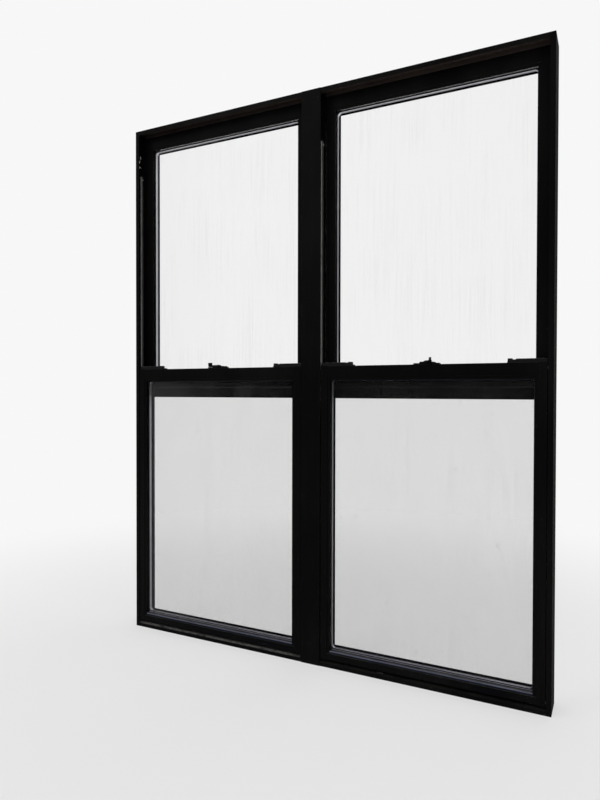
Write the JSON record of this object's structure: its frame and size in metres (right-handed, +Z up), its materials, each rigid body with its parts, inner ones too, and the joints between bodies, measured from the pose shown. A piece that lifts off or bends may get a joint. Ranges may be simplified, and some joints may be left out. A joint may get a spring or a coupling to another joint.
{
  "type": "sash window",
  "caption": "Twin double-hung window in black aluminium: glazed sashes that slide and tilt in, joined by a mull, with sash locks, tilt latches and insect screens",
  "frame": {"origin": "foot of the frame, on the mull's centre line, in the middle of the frame's depth", "axes": "+X along the wall to the right as seen from the room, +Y to the outside, +Z up; the room face is at -Y"},
  "size_m": [1.41, 0.0979, 1.79],
  "materials": {
    "frame": "black satin powder coat on aluminium profiles",
    "sash": "black satin powder coat on aluminium profiles",
    "glass": "clear float glass",
    "spacer": "bright mill aluminium spacer with round corners",
    "tube": "pale grey balance tube",
    "plastic": "black nylon",
    "hardware": "black painted die casting",
    "steel": "plain steel",
    "mesh": "black woven insect mesh"
  },
  "bodies": {
    "frame": {"outer_jamb_left": "frame", "outer_jamb_right": "frame", "inner_jambs": "frame", "heads": "frame", "sills": "frame", "mull_bar": "frame", "mull_cover": "frame", "balance_tubes": "tube", "screen_frames": "frame", "insect_mesh": "mesh"},
    "left_carriage": {"left_lower_shoes": "plastic", "left_lower_rods": "tube"},
    "left_lower_sash": {"left_lower_stile_left": "sash", "left_lower_stile_right": "sash", "left_lower_bottom_rail": "sash", "left_lower_top_rail": "sash", "left_lower_glass": "glass", "left_lower_spacer": "spacer", "left_lower_pivot_bars": "steel", "left_lock_base": "hardware", "left_latch_housings": "plastic"},
    "left_lock": {"left_lock_lever": "hardware", "left_lock_cam": "hardware"},
    "left_latch_left": {"left_latch_bolt_left": "plastic"},
    "left_latch_right": {"left_latch_bolt_right": "plastic"},
    "left_upper_sash": {"left_upper_stile_left": "sash", "left_upper_stile_right": "sash", "left_upper_bottom_rail": "sash", "left_upper_top_rail": "sash", "left_upper_glass": "glass", "left_upper_spacer": "spacer", "left_upper_pivot_bars": "steel", "left_upper_shoes": "plastic", "left_upper_rods": "tube", "left_keeper": "hardware"},
    "right_carriage": {"right_lower_shoes": "plastic", "right_lower_rods": "tube"},
    "right_lower_sash": {"right_lower_stile_left": "sash", "right_lower_stile_right": "sash", "right_lower_bottom_rail": "sash", "right_lower_top_rail": "sash", "right_lower_glass": "glass", "right_lower_spacer": "spacer", "right_lower_pivot_bars": "steel", "right_lock_base": "hardware", "right_latch_housings": "plastic"},
    "right_lock": {"right_lock_lever": "hardware", "right_lock_cam": "hardware"},
    "right_latch_left": {"right_latch_bolt_left": "plastic"},
    "right_latch_right": {"right_latch_bolt_right": "plastic"},
    "right_upper_sash": {"right_upper_stile_left": "sash", "right_upper_stile_right": "sash", "right_upper_bottom_rail": "sash", "right_upper_top_rail": "sash", "right_upper_glass": "glass", "right_upper_spacer": "spacer", "right_upper_pivot_bars": "steel", "right_upper_shoes": "plastic", "right_upper_rods": "tube", "right_keeper": "hardware"}
  },
  "joints": [
    {"name": "left_lower_slide", "type": "slide", "parent": "frame", "child": "left_carriage", "axis": [0, 0, 1], "range_m": [0, 0.7]},
    {"name": "left_upper_slide", "type": "slide", "parent": "frame", "child": "left_upper_sash", "axis": [0, 0, -1], "range_m": [0, 0.7]},
    {"name": "left_tilt", "type": "hinge", "parent": "left_carriage", "child": "left_lower_sash", "pos_m": [-0.362, -0.0305, 0.031], "axis": [1, 0, 0], "range_deg": [0, 80]},
    {"name": "left_lock_turn", "type": "hinge", "parent": "left_lower_sash", "child": "left_lock", "pos_m": [-0.362, -0.019, 0.941], "axis": [0, 0, 1], "range_deg": [0, 180]},
    {"name": "left_latch_left_slide", "type": "slide", "parent": "left_lower_sash", "child": "left_latch_left", "axis": [-1, 0, 0], "range_m": [0, 0.008]},
    {"name": "left_latch_right_slide", "type": "slide", "parent": "left_lower_sash", "child": "left_latch_right", "axis": [1, 0, 0], "range_m": [0, 0.008]},
    {"name": "right_lower_slide", "type": "slide", "parent": "frame", "child": "right_carriage", "axis": [0, 0, 1], "range_m": [0, 0.7]},
    {"name": "right_upper_slide", "type": "slide", "parent": "frame", "child": "right_upper_sash", "axis": [0, 0, -1], "range_m": [0, 0.7]},
    {"name": "right_tilt", "type": "hinge", "parent": "right_carriage", "child": "right_lower_sash", "pos_m": [0.362, -0.0305, 0.031], "axis": [1, 0, 0], "range_deg": [0, 80]},
    {"name": "right_lock_turn", "type": "hinge", "parent": "right_lower_sash", "child": "right_lock", "pos_m": [0.362, -0.019, 0.941], "axis": [0, 0, 1], "range_deg": [-120, 60]},
    {"name": "right_latch_left_slide", "type": "slide", "parent": "right_lower_sash", "child": "right_latch_left", "axis": [-1, 0, 0], "range_m": [0, 0.008]},
    {"name": "right_latch_right_slide", "type": "slide", "parent": "right_lower_sash", "child": "right_latch_right", "axis": [1, 0, 0], "range_m": [0, 0.008]}
  ]
}
